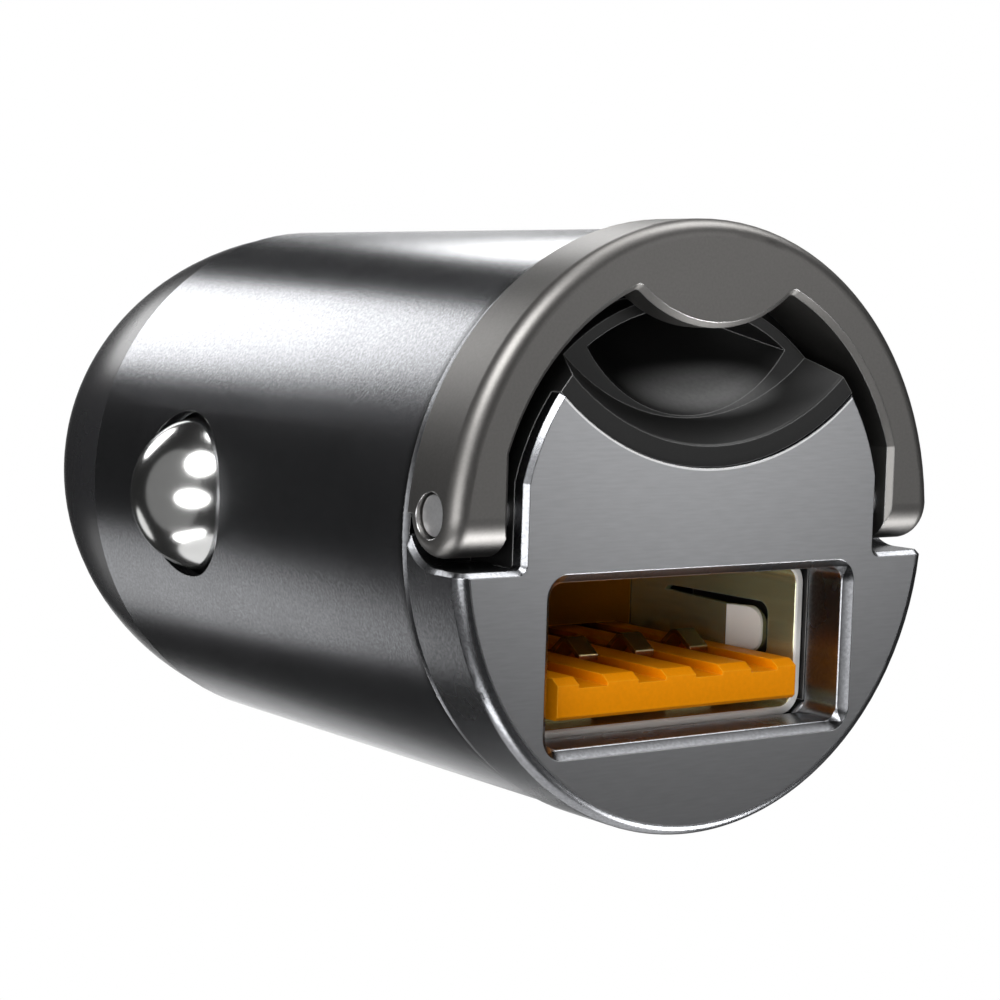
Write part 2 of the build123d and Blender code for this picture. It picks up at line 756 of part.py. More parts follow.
# Ground contacts: domed buttons with a flange, and the coil springs behind them
for name, side in (("left", -1), ("right", 1)):
    button_axis = Axis((0, window_depth, 0), (1, 0, 0))
    with BuildPart() as ground_contact:
        with BuildSketch(Plane.XY) as button:
            with BuildLine():
                tip_point = (side * (button_centre + button_radius), window_depth)
                mid = button_radius * math.sqrt(0.5)
                dome = ThreePointArc(
                    tip_point,
                    (side * (button_centre + mid), window_depth + mid),
                    (side * button_centre, window_depth + button_radius),
                )
                Polyline(
                    dome @ 1,
                    (side * button_flange_face, window_depth + button_radius),
                    (side * button_flange_face, window_depth + button_flange_radius),
                    (side * (button_flange_face - button_flange), window_depth + button_flange_radius),
                    (side * (button_flange_face - button_flange), window_depth + button_bore),
                    (side * button_bore_end, window_depth + button_bore),
                    (side * button_bore_end, window_depth),
                    tip_point,
                )
            make_face()
        revolve(button.sketch, axis=button_axis)
    finish(ground_contact, "ground_contact_" + name)
    spring_start = holder_half_width - spring_pocket + seat_gap
    coil_spring(
        "ground_spring_" + name,
        Plane(origin=(side * spring_start, window_depth, 0), z_dir=(side, 0, 0)),
        button_bore_end - seat_gap - spring_start,
        side_spring_radius,
        side_spring_wire,
        side_spring_turns,
    )

# Nose cap: hollow plastic end with a spigot for the barrel and a bore for the contact
with BuildPart() as nose_cap:
    with BuildSketch(Plane.XY) as nose:
        with BuildLine():
            start = (nose_radius, barrel_rear + seam_gap)
            lean = math.radians(nose_taper)
            flank = TangentArc(
                start,
                (nose_hip_radius, barrel_rear + nose_hip),
                tangent=(-math.sin(lean), math.cos(lean)),
            )
            crown = TangentArc(flank @ 1, (nose_end_radius, nose_end), tangent=flank % 1)
            Polyline(
                crown @ 1,
                (tip_radius + slide_gap, nose_end),
                (tip_radius + slide_gap, collar_rear + seam_gap),
                (collar_radius + slide_gap, collar_rear + seam_gap),
                (collar_radius + slide_gap, seat_rear + seat_gap),
                (seat_radius + seat_gap, seat_rear + seat_gap),
                (seat_radius + seat_gap, nose_bore_end),
                (nose_bore, nose_bore_end),
                (nose_bore, barrel_rear - nose_spigot),
                (spigot_radius, barrel_rear - nose_spigot),
                (spigot_radius, barrel_rear + seam_gap),
                start,
            )
        make_face()
    revolve(nose.sketch, axis=Axis.Y)
finish(nose_cap, "nose_cap")

# Spring seat riveted to the board's end
with BuildPart() as spring_seat:
    turn([
        (0, board_rear + seat_gap),
        (seat_rivet_radius, board_rear + seat_gap),
        (seat_rivet_radius, seat_front),
        (seat_radius, seat_front),
        (seat_radius, seat_rear),
        (0, seat_rear),
    ])
finish(spring_seat, "spring_seat")

# Centre contact: tail, collar, stem and domed tip, all turned in one
with BuildPart() as centre_contact:
    with BuildSketch(Plane.XY) as tip:
        with BuildLine():
            tip_sphere = (tip_radius**2 + tip_dome**2) / (2 * tip_dome)
            Polyline(
                (0, tip_end),
                (0, collar_front - tip_tail),
                (tip_tail_radius, collar_front - tip_tail),
                (tip_tail_radius, collar_front),
                (collar_radius, collar_front),
                (collar_radius, collar_rear),
                (tip_radius, collar_rear),
                (tip_radius, tip_end - tip_dome),
            )
            half = math.asin(tip_radius / tip_sphere) / 2
            ThreePointArc(
                (tip_radius, tip_end - tip_dome),
                (tip_sphere * math.sin(half), tip_end - tip_sphere * (1 - math.cos(half))),
                (0, tip_end),
            )
        make_face()
    revolve(tip.sketch, axis=Axis.Y)
finish(centre_contact, "centre_contact")

coil_spring(
    "centre_spring",
    Plane(origin=(0, seat_rear + seat_gap, 0), z_dir=REARWARD),
    collar_front - seat_rear - 2 * seat_gap,
    tip_spring_radius,
    tip_spring_wire,
    tip_spring_turns,
)
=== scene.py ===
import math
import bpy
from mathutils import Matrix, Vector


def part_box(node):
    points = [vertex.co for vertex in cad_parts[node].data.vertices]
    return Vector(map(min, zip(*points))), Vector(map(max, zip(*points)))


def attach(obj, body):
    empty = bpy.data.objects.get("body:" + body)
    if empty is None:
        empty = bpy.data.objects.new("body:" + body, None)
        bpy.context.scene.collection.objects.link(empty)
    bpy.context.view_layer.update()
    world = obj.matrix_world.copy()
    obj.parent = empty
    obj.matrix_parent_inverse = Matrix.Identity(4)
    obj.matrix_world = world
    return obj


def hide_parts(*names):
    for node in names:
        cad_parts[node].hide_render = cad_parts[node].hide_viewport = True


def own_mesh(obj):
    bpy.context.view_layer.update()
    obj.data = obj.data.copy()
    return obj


bl_info = {
    "name": "Socket plug dressing",
    "version": (1, 0, 0),
    "blender": (4, 5, 0),
    "location": "3D View > Sidebar > Socket plug",
    "description": "Gives a car socket plug its finishes, springs, lights and camera",
    "category": "Object",
}

import bpy
from bpy.props import FloatProperty, FloatVectorProperty, PointerProperty
from mathutils import Matrix, Vector

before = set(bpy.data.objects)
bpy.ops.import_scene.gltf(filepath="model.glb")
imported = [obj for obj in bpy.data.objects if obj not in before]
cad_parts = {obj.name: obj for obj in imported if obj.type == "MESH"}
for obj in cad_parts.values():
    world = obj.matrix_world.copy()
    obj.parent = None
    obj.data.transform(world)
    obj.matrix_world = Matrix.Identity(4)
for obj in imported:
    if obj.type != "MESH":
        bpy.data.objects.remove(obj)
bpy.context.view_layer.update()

# All lengths are in metres, in the frame of the CAD model

# Chamfer round the port, darkened with painted shade: room between the shell and the port's
# walls, width beyond them, factors of painted shade for the colour at the inner and the outer
# edge, and margin as a part of the width
PORT_GAP = Vector((0.000065, 0, -0.00006))
PORT_CHAMFER = 0.00032
CHAMFER_SHADES = (0.03, 0.5)
CHAMFER_MARGIN = 0.1

# Barrel's front rim, in the gap behind the cap, darkened with painted shade: depth, and factor
# for the colour
RIM_DEPTH = 0.0005
RIM_SHADE = 0.03

# Arc along which the face meets the finger scoop, width of the painted highlight line along
# it, and its factor
SCOOP_CENTRE = Vector((0, 0, 0.01194))
SCOOP_RADIUS = 0.00969
SCOOP_LINE = 0.00009
SCOOP_HIGHLIGHT = 3.5

# Tips of the shell's side fingers, which get a painted highlight: inner and outer distance
# from the middle, half height and depth, and the depth of the shell's front edge, which gets
# the same painted highlight
TIP_INNER = 0.0053
TIP_OUTER = 0.0062
TIP_HALF_HEIGHT = 0.00095
TIP_DEPTH = 0.0053
FRONT_EDGE = 0.00006

# Painted highlight that lightens a patch at the bottom of the bowl: place, half size, the part
# of the size that is lightest, and the factor there
PATCH_CENTRE = Vector((0.0014, 0.0026, 0.0048))
PATCH_SIZE = Vector((0.0042, 0.0022, 0.0013))
PATCH_CORE = 0.1
PATCH_HIGHLIGHT = 40.0

# Depths between which painted shade darkens the tongue's plastic towards the port's back wall,
# and factor
BLADE_DEPTH = 0.0105
WALL_DEPTH = 0.0119
BACK_SHADE = 0.3

# Edges: samples of the rounded normal, and its match with the true normal where the wear
# starts and where it is full
EDGE_SAMPLES = 6
EDGE_MATCH = (0.99, 0.85)

# Grain: middle part of the noise's values that is used, size of a smear in grains, and the
# roughness that a smear adds or takes
NOISE_MIDDLE = (0.3, 0.7)
SMEAR_GRAINS = 30
SMEAR_ROUGHNESS = 0.01

# Brushed front: Y of a normal below which a surface counts as it, and its roughness
FRONT_NORMAL = -0.99
BRUSHED_ROUGHNESS = 0.3


# Settings that a user may change


class CasingSettings(bpy.types.PropertyGroup):
    """Finishes of the metal pieces on the outside."""

    gunmetal: FloatVectorProperty(
        name="Gunmetal",
        description="Colour of the blasted barrel and front cap",
        subtype="COLOR", size=3, min=0, max=1, default=(0.30, 0.305, 0.32),
    )
    face_metal: FloatVectorProperty(
        name="Face metal",
        description="Colour of the flat brushed face",
        subtype="COLOR", size=3, min=0, max=1, default=(0.48, 0.485, 0.50),
    )
    handle_metal: FloatVectorProperty(
        name="Handle metal",
        description="Colour of the pull handle",
        subtype="COLOR", size=3, min=0, max=1, default=(0.24, 0.233, 0.225),
    )
    pin_steel: FloatVectorProperty(
        name="Pin steel",
        description="Colour of the hinge pins",
        subtype="COLOR", size=3, min=0, max=1, default=(0.80, 0.80, 0.81),
    )
    bare_edge: FloatVectorProperty(
        name="Bare edge",
        description="Colour of the metal where an edge is cut or rubbed bright",
        subtype="COLOR", size=3, min=0, max=1, default=(0.75, 0.75, 0.75),
    )
    blast_size: FloatProperty(
        name="Blast size",
        description="Distance between the pits of the blasted finish",
        unit="LENGTH", min=0, default=0.00010,
    )
    blast_depth: FloatProperty(
        name="Blast depth",
        description="Depth of the pits of the blasted finish",
        unit="LENGTH", min=0, default=0.0000025,
    )
    edge_width: FloatProperty(
        name="Edge width",
        description="Width over which a sharp edge is rubbed round",
        unit="LENGTH", min=0, default=0.00006,
    )


class MouldingSettings(bpy.types.PropertyGroup):
    """Finishes of the plastic pieces."""

    black_plastic: FloatVectorProperty(
        name="Black plastic",
        description="Colour of the inner carrier",
        subtype="COLOR", size=3, min=0, max=1, default=(0.008, 0.008, 0.008),
    )
    nose_plastic: FloatVectorProperty(
        name="Nose plastic",
        description="Colour of the nose cap",
        subtype="COLOR", size=3, min=0, max=1, default=(0.022, 0.022, 0.024),
    )
    orange_plastic: FloatVectorProperty(
        name="Orange plastic",
        description="Colour of the tongue in the port",
        subtype="COLOR", size=3, min=0, max=1, default=(0.92, 0.30, 0.0),
    )
    moulding_grain: FloatProperty(
        name="Moulding grain",
        description="Distance between the bumps of a moulded surface",
        unit="LENGTH", min=0, default=0.00015,
    )


class ContactSettings(bpy.types.PropertyGroup):
    """Finishes of the port's metal, the contacts and the springs."""

    shell_tin: FloatVectorProperty(
        name="Shell tin",
        description="Colour of the folded shell",
        subtype="COLOR", size=3, min=0, max=1, default=(0.66, 0.66, 0.38),
    )
    contact_bronze: FloatVectorProperty(
        name="Contact bronze",
        description="Colour of the strips in the port",
        subtype="COLOR", size=3, min=0, max=1, default=(0.34, 0.27, 0.17),
    )
    nickel: FloatVectorProperty(
        name="Nickel",
        description="Colour of the bright side and tip contacts",
        subtype="COLOR", size=3, min=0, max=1, default=(0.78, 0.78, 0.77),
    )
    spring_steel: FloatVectorProperty(
        name="Spring steel",
        description="Colour of the coil springs",
        subtype="COLOR", size=3, min=0, max=1, default=(0.55, 0.55, 0.55),
    )
    copper: FloatVectorProperty(
        name="Copper",
        description="Colour of the enamelled winding",
        subtype="COLOR", size=3, min=0, max=1, default=(0.72, 0.30, 0.12),
    )


class StudioSettings(bpy.types.PropertyGroup):
    """Lights, floor and camera."""

    room_level: FloatProperty(
        name="Room level",
        description="Brightness of the dim room round the plug",
        min=0, default=0.02,
    )
    backdrop_spread: FloatProperty(
        name="Backdrop spread",
        description="Half the angle that the white backdrop fills behind the plug",
        subtype="ANGLE", min=0, default=math.radians(17),
    )
    floor_drop: FloatProperty(
        name="Floor drop",
        description="Distance from the plug's axis down to the floor",
        unit="LENGTH", min=0, default=0.060,
    )
    floor_radius: FloatProperty(
        name="Floor radius",
        description="Radius of the round pale floor",
        unit="LENGTH", min=0, default=0.040,
    )
    camera_place: FloatVectorProperty(
        name="Camera place",
        description="Place of the camera's lens",
        subtype="TRANSLATION", unit="LENGTH", size=3, precision=5,
        default=(-0.052191, -0.060002, 0.007742),
    )
    camera_turn: FloatProperty(
        name="Camera turn",
        description="Direction of view, from straight at the face towards the right flank",
        subtype="ANGLE", default=0.62428,
    )
    camera_tilt: FloatProperty(
        name="Camera tilt",
        description="Angle by which the camera looks down",
        subtype="ANGLE", default=0.08565,
    )
    camera_roll: FloatProperty(
        name="Camera roll",
        description="Turn of the camera about its own line of view",
        subtype="ANGLE", default=0.03042,
    )
    camera_lens: FloatProperty(
        name="Camera lens",
        description="Focal length on a sensor 36 mm wide, in millimetres",
        min=1, default=83.235,
    )


SETTINGS = {
    "plug_casing": CasingSettings,
    "plug_mouldings": MouldingSettings,
    "plug_contacts": ContactSettings,
    "plug_studio": StudioSettings,
}


# Nodes


def join(tree, node, sockets):
    """Give a node's sockets, by name or number, values or links to other nodes' outputs."""
    for name, value in sockets.items():
        if hasattr(value, "is_output"):
            tree.links.new(value, node.inputs[name])
        else:
            node.inputs[name].default_value = value


def add_node(tree, kind, sockets=None, **settings):
    """Add a shader node, with values for its sockets and settings."""
    made = tree.nodes.new(kind)
    for name, value in settings.items():
        setattr(made, name, value)
    join(tree, made, sockets or {})
    return made


def piece_place(tree):
    """Place in the piece's own frame."""
    return add_node(tree, "ShaderNodeTexCoord").outputs["Object"]


def split(tree, vector):
    """A vector's parts, by the names X, Y and Z."""
    return add_node(tree, "ShaderNodeSeparateXYZ", {"Vector": vector}).outputs


def maths(tree, operation, *values):
    """Number from a maths node."""
    made = add_node(tree, "ShaderNodeMath", dict(enumerate(values)), operation=operation)
    return made.outputs["Value"]


def vector_maths(tree, operation, *values):
    """Vector from a vector maths node, or number where the operation gives one."""
    made = add_node(tree, "ShaderNodeVectorMath", dict(enumerate(values)),
                    operation=operation)
    gives_number = operation in ("DISTANCE", "DOT_PRODUCT", "LENGTH")
    return made.outputs["Value" if gives_number else "Vector"]


def scaled(tree, colour, factor):
    """Colour times a factor."""
    made = add_node(tree, "ShaderNodeVectorMath", {0: colour, "Scale": factor},
                    operation="SCALE")
    return made.outputs["Vector"]


def map_range(tree, value, start, end, low, high, **settings):
    """Value carried from one range to another and held at its ends."""
    made = add_node(tree, "ShaderNodeMapRange", {
        "Value": value, "From Min": start, "From Max": end, "To Min": low, "To Max": high,
    }, **settings)
    return made.outputs["Result"]


def blend(tree, factor, first, second):
    """Mixture of two colours or directions."""
    made = add_node(tree, "ShaderNodeMixRGB",
                    {"Fac": factor, "Color1": first, "Color2": second})
    return made.outputs["Color"]


def blend_numbers(tree, factor, first, second):
    """Mixture of two numbers."""
    made = add_node(tree, "ShaderNodeMix", {"Factor": factor, "A": first, "B": second})
    return made.outputs["Result"]


# Materials


def rgba(colour):
    """A colour with full cover."""
    return (colour[0], colour[1], colour[2], 1.0)


def new_material(name):
    """An empty node material with its shader joined to the output."""
    material = bpy.data.materials.new(name)
    material.use_nodes = True
    tree = material.node_tree
    tree.nodes.clear()
    shader = add_node(tree, "ShaderNodeBsdfPrincipled")
    add_node(tree, "ShaderNodeOutputMaterial", {"Surface": shader.outputs["BSDF"]})
    return material, tree, shader


def place_noise(tree, spacing, stretch=(1, 1, 1)):
    """Noise that is fixed to the piece, with features a given distance apart."""
    spread = add_node(tree, "ShaderNodeMapping",
                      {"Vector": piece_place(tree), "Scale": Vector(stretch) / spacing})
    noise = add_node(tree, "ShaderNodeTexNoise",
                     {"Vector": spread.outputs["Vector"], "Scale": 1.0, "Detail": 3.0})
    return noise.outputs["Fac"]


def level(tree, noise, low, high):
    """Noise spread over a range."""
    return map_range(tree, noise, *NOISE_MIDDLE, low, high)


def edge_mask(tree, width):
    """Rounded normal at the edges, and a mask that is 1 where the edge is sharpest."""
    rounded = add_node(tree, "ShaderNodeBevel", {"Radius": width},
                       samples=EDGE_SAMPLES).outputs["Normal"]
    true_normal = add_node(tree, "ShaderNodeNewGeometry").outputs["Normal"]
    match = vector_maths(tree, "DOT_PRODUCT", rounded, true_normal)
    return rounded, map_range(tree, match, *EDGE_MATCH, 0.0, 1.0)


def grained(tree, normal, colour, grain, depth, speckle, stretch):
    """Speckled colour and the bumped normal of a grained surface."""
    fine = place_noise(tree, grain, stretch)
    tone = scaled(tree, colour, level(tree, fine, 1 - speckle, 1 + speckle))
    bump = add_node(tree, "ShaderNodeBump", {
        "Strength": 1.0, "Distance": depth, "Height": fine, "Normal": normal,
    })
    return tone, bump.outputs["Normal"]


def port_shade(tree):
    """Factor of painted shade that darkens the chamfer round the port from its outer to its
    inner edge.
    """
    low, high = (Vector(corner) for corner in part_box("usb_shell"))
    offset = vector_maths(tree, "SUBTRACT", piece_place(tree), (low + high) / 2)
    past = vector_maths(tree, "SUBTRACT", vector_maths(tree, "ABSOLUTE", offset),
                        (high - low) / 2 + PORT_GAP)
    axes = split(tree, past)
    out = maths(tree, "MAXIMUM", axes["X"], axes["Z"])
    slope = map_range(tree, out, 0.0, PORT_CHAMFER, *CHAMFER_SHADES)
    wall = maths(tree, "LESS_THAN", out, CHAMFER_MARGIN * PORT_CHAMFER)
    beyond = maths(tree, "GREATER_THAN", out, (1 + CHAMFER_MARGIN) * PORT_CHAMFER)
    return maths(tree, "MAXIMUM", slope, maths(tree, "MAXIMUM", wall, beyond))


def rim_shade(tree):
    """Factor of painted shade that darkens the barrel's front rim, which stands in the gap
    behind the cap.
    """
    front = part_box("barrel")[0][1]
    depth = split(tree, piece_place(tree))["Y"]
    return map_range(tree, depth, front, front + RIM_DEPTH, RIM_SHADE, 1.0)


def scoop_edge_highlight(tree):
    """Factor of a painted highlight that brightens a thin line on the face, along the edge of
    the finger scoop.
    """
    flat = vector_maths(tree, "MULTIPLY", piece_place(tree), (1, 0, 1))
    reach = vector_maths(tree, "DISTANCE", flat, SCOOP_CENTRE)
    return map_range(tree, reach, SCOOP_RADIUS + SCOOP_LINE, SCOOP_RADIUS + SCOOP_LINE / 2,
                     1.0, SCOOP_HIGHLIGHT)


def tin_tips(tree):
    """Mask that is 1 on the tips of the shell's side fingers and on its front edge, where a
    painted highlight goes.
    """
    low, high = (Vector(corner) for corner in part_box("usb_shell"))
    middle = (low + high) / 2
    middle.y = 0
    offset = vector_maths(tree, "SUBTRACT", piece_place(tree), middle)
    axes = split(tree, vector_maths(tree, "ABSOLUTE", offset))
    tip = 1.0
    for axis, side, limit in (
        ("X", "GREATER_THAN", TIP_INNER), ("X", "LESS_THAN", TIP_OUTER),
        ("Z", "LESS_THAN", TIP_HALF_HEIGHT), ("Y", "LESS_THAN", TIP_DEPTH),
    ):
        tip = maths(tree, "MULTIPLY", maths(tree, side, axes[axis], limit), tip)
    edge = maths(tree, "LESS_THAN", axes["Y"], low.y + FRONT_EDGE)
    return maths(tree, "MAXIMUM", edge, tip)


def bowl_painted_highlight(tree):
    """Factor of a painted highlight that lightens the plastic at the bottom of the bowl."""
    offset = vector_maths(tree, "SUBTRACT", piece_place(tree), PATCH_CENTRE)
    reach = vector_maths(tree, "LENGTH", vector_maths(tree, "DIVIDE", offset, PATCH_SIZE))
    return map_range(tree, reach, 1.0, PATCH_CORE, 1.0, PATCH_HIGHLIGHT,
                     interpolation_type="SMOOTHSTEP")


def back_shade(tree):
    """Factor of painted shade that darkens the tongue's plastic at the back of the port."""
    depth = split(tree, piece_place(tree))["Y"]
    return map_range(tree, depth, BLADE_DEPTH, WALL_DEPTH, 1.0, BACK_SHADE)


def brush_front(tree, normal, brushed, tone, bumped, smear):
    """Another tone, bump and roughness where the surface is the flat front, with a painted
    highlight along the finger scoop.
    """
    place = add_node(tree, "ShaderNodeTexCoord")
    facing = split(tree, place.outputs["Normal"])["Y"]
    flat = maths(tree, "LESS_THAN", facing, FRONT_NORMAL)
    front_tone, front_bump = grained(tree, normal, **brushed)
    # Painted highlight along the edge of the finger scoop
    front_tone = scaled(tree, front_tone, scoop_edge_highlight(tree))
    return (blend(tree, flat, tone, front_tone), blend(tree, flat, bumped, front_bump),
            blend_numbers(tree, flat, smear, BRUSHED_ROUGHNESS))


def finish(name, colour, edge_colour, edge_width, *, metallic, rough, grain, depth,
           speckle=0.08, stretch=(1, 1, 1), edge_rough=0.25, ior=1.5,
           shade=None, brushed=None, painted_highlight=None):
    """A grained surface with rubbed edges.

    shade gives a factor for the colour, which paints shade where it is below 1 and a highlight
    where it is above 1. brushed holds the colour and grain of a flat front.
    The last argument gives a mask of where a painted highlight makes the metal pale and no
    mirror.
    """
    material, tree, shader = new_material(name)
    normal, edge = edge_mask(tree, edge_width)
    tone, bumped = grained(tree, normal, colour, grain, depth, speckle, stretch)
    smear = level(tree, place_noise(tree, grain * SMEAR_GRAINS),
                  rough - SMEAR_ROUGHNESS, rough + SMEAR_ROUGHNESS)
    # Factor on the colour: below 1 it paints shade, above 1 it paints a highlight
    if shade:
        tone = scaled(tree, tone, shade(tree))
    if brushed:
        tone, bumped, smear = brush_front(tree, normal, brushed, tone, bumped, smear)
    worn = blend(tree, edge, tone, rgba(edge_colour))
    # Painted highlight: where the mask is 1 the metal takes the pale edge colour and no mirror
    if painted_highlight:
        mask = painted_highlight(tree)
        worn = blend(tree, mask, worn, rgba(edge_colour))
        metallic = map_range(tree, mask, 0.0, 1.0, metallic, 0.0)
    join(tree, shader, {
        "Base Color": worn, "Metallic": metallic, "IOR": ior, "Normal": bumped,
        "Roughness": blend_numbers(tree, edge, smear, edge_rough),
    })
    return material


def cover(material, *names):
    """Give CAD nodes a material without touching their meshes."""
    for name in names:
        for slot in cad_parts[name].material_slots:
            slot.link = "OBJECT"
            slot.material = material


# Operators, one for each group of pieces


class PLUG_OT_casing(bpy.types.Operator):
    """Finish the barrel, front cap, handle and pins."""

    bl_idname = "plug.casing"
    bl_label = "Finish casing"

    def execute(self, context):
        s = context.scene.plug_casing
        # Painted shade darkens the barrel's front rim
        gunmetal = finish(
            "gunmetal", s.gunmetal, s.bare_edge, s.edge_width / 2, metallic=1.0, rough=0.25,
            grain=s.blast_size, depth=s.blast_depth, speckle=0.2, shade=rim_shade,
        )
        cover(gunmetal, "barrel")
        brushed = {
            "colour": s.face_metal, "grain": s.blast_size, "depth": s.blast_depth / 2,
            "speckle": 0.05, "stretch": (0.1, 1, 1),
        }
        # Painted shade darkens the chamfer round the port, and a painted highlight lines the
        # face along the finger scoop
        cap = finish(
            "cap_metal", s.gunmetal, s.face_metal, s.edge_width, metallic=1.0, rough=0.27,
            grain=s.blast_size, depth=s.blast_depth, speckle=0.2, shade=port_shade,
            brushed=brushed,
        )
        cover(cap, "front_cap")
        handle = finish(
            "handle_metal", s.handle_metal, s.bare_edge, s.edge_width, metallic=1.0,
            rough=0.42, grain=s.blast_size, depth=s.blast_depth / 3, speckle=0.05,
        )
        cover(handle, "pull_handle")
        pin = finish(
            "pin_steel", s.pin_steel, s.bare_edge, s.edge_width, metallic=1.0,
            rough=0.5, grain=s.blast_size, depth=s.blast_depth / 3, speckle=0.05,
        )
        cover(pin, "hinge_pin_left", "hinge_pin_right")
        return {"FINISHED"}


class PLUG_OT_mouldings(bpy.types.Operator):
    """Finish the plastic carrier, nose, tongue, bases and holders."""

    bl_idname = "plug.mouldings"
    bl_label = "Finish mouldings"

    def execute(self, context):
        s = context.scene.plug_mouldings
        width = context.scene.plug_casing.edge_width
        black = finish(
            "black_plastic", s.black_plastic, (0.12, 0.12, 0.12), width, metallic=0.0,
            rough=0.45, grain=s.moulding_grain, depth=0.000003, edge_rough=0.3,
        )
        cover(black, "input_capacitor_base", "output_capacitor_base",
              "spring_holder_top", "spring_holder_bottom")
        # Painted highlight: a lighter patch at the bottom of the finger bowl
        rubbed = finish(
            "bowl_highlight_plastic", s.black_plastic, (0.3, 0.3, 0.3), width, metallic=0.0,
            rough=0.4, grain=s.moulding_grain, depth=0.000003, edge_rough=0.3,
            shade=bowl_painted_highlight,
        )
        cover(rubbed, "inner_carrier")
        nose = finish(
            "nose_plastic", s.nose_plastic, (0.12, 0.12, 0.12), width, metallic=0.0,
            rough=0.27, grain=s.moulding_grain, depth=0.000002, edge_rough=0.3, ior=1.65,
        )
        cover(nose, "nose_cap")
        # Painted shade darkens the tongue towards the port's back wall
        orange = finish(
            "orange_plastic", s.orange_plastic, (0.95, 0.42, 0.02), width, metallic=0.0,
            rough=0.45, grain=s.moulding_grain, depth=0.000002, speckle=0.03,
            edge_rough=0.4, ior=1.2, shade=back_shade,
        )
        cover(orange, "usb_tongue")
        return {"FINISHED"}


# Springs: CAD node, joint, axis as 0 for x and 1 for y, which corner of the node's box is
# at the fixed end, and the contact's travel
SPRINGS = (
    ("ground_spring_left", "left_contact_slide", 0, 1, 0.0018),
    ("ground_spring_right", "right_contact_slide", 0, 0, 0.0018),
    ("centre_spring", "tip_slide", 1, 0, 0.0025),
)


def add_spring(material, node, joint, axis, fixed, travel):
    """A coil copied from the CAD node's mesh, fixed to the housing, that takes the node's
    place.
    """
    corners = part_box(node)
    anchor = [(a + b) / 2 for a, b in zip(*corners)]
    anchor[axis] = corners[fixed][axis]
    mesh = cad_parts[node].data.copy()
    mesh.materials.clear()
    mesh.materials.append(material)
    coil = bpy.data.objects.new(node.replace("spring", "coil"), mesh)
    bpy.context.scene.collection.objects.link(coil)
    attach(coil, "housing")
    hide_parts(node)
    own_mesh(coil)


class PLUG_OT_contacts(bpy.types.Operator):
    """Finish the shell, the strips, the side and tip contacts and the springs."""

    bl_idname = "plug.contacts"
    bl_label = "Finish contacts"

    def execute(self, context):
        s = context.scene.plug_contacts
        width = context.scene.plug_casing.edge_width
        # Painted highlight: the tips of the side fingers and the shell's front edge are pale
        # and matte
        tin = finish(
            "tinned_steel", s.shell_tin, (0.95, 0.95, 0.92), width, metallic=0.75,
            rough=0.26, grain=0.0002, depth=0.000002, stretch=(1, 0.1, 1), painted_highlight=tin_tips,
        )
        cover(tin, "usb_shell")
        bronze = finish(
            "bronze", s.contact_bronze, (0.8, 0.65, 0.4), width, metallic=1.0,
            rough=0.22, grain=0.0002, depth=0.000002,
        )
        cover(bronze, "usb_contact_1", "usb_contact_2", "usb_contact_3", "usb_contact_4",
              "spring_seat")
        nickel = finish(
            "nickel", s.nickel, (0.85, 0.85, 0.85), width, metallic=1.0,
            rough=0.18, grain=0.0004, depth=0.0000005, speckle=0.02, edge_rough=0.1,
        )
        cover(nickel, "ground_contact_left", "ground_contact_right", "centre_contact")
        steel = finish(
            "spring_steel", s.spring_steel, (0.8, 0.8, 0.8), width / 2, metallic=1.0,
            rough=0.25, grain=0.0002, depth=0.000001,
        )
        for spring in SPRINGS:
            add_spring(steel, *spring)
        return {"FINISHED"}


class PLUG_OT_board(bpy.types.Operator):
    """Finish the board and the parts that it carries."""

    bl_idname = "plug.board"
    bl_label = "Finish board"

    def execute(self, context):
        winding = context.scene.plug_contacts.copper
        width = context.scene.plug_casing.edge_width
        laminate = finish(
            "board_laminate", (0.02, 0.12, 0.05), (0.3, 0.35, 0.2), width, metallic=0.0,
            rough=0.3, grain=0.0003, depth=0.000004,
        )
        cover(laminate, "main_board")
        can = finish(
            "can_aluminium", (0.7, 0.7, 0.71), (0.85, 0.85, 0.85), width, metallic=1.0,
            rough=0.25, grain=0.0002, depth=0.000002, stretch=(1, 1, 0.1),
        )
        cover(can, "input_capacitor", "output_capacitor")
        chip = finish(
            "chip_plastic", (0.03, 0.03, 0.03), (0.08, 0.08, 0.08), width, metallic=0.0,
            rough=0.55, grain=0.00008, depth=0.000004,
        )
        cover(chip, "controller_chip")
        ferrite = finish(
            "ferrite", (0.07, 0.07, 0.075), (0.16, 0.16, 0.16), width, metallic=0.0,
            rough=0.6, grain=0.0001, depth=0.000006,
        )
        cover(ferrite, "inductor_core")
        copper = finish(
            "copper", winding, (0.9, 0.5, 0.3), width, metallic=1.0,
            rough=0.28, grain=0.0002, depth=0.00002, stretch=(0.1, 0.1, 1),
        )
        cover(copper, "inductor_winding")
        return {"FINISHED"}


# Stage


def direction(azimuth, elevation):
    """Unit vector by degrees from +Y towards +X, and degrees up."""
    a = math.radians(azimuth)
    e = math.radians(elevation)
    return Vector((math.sin(a) * math.cos(e), math.cos(a) * math.cos(e), math.sin(e)))


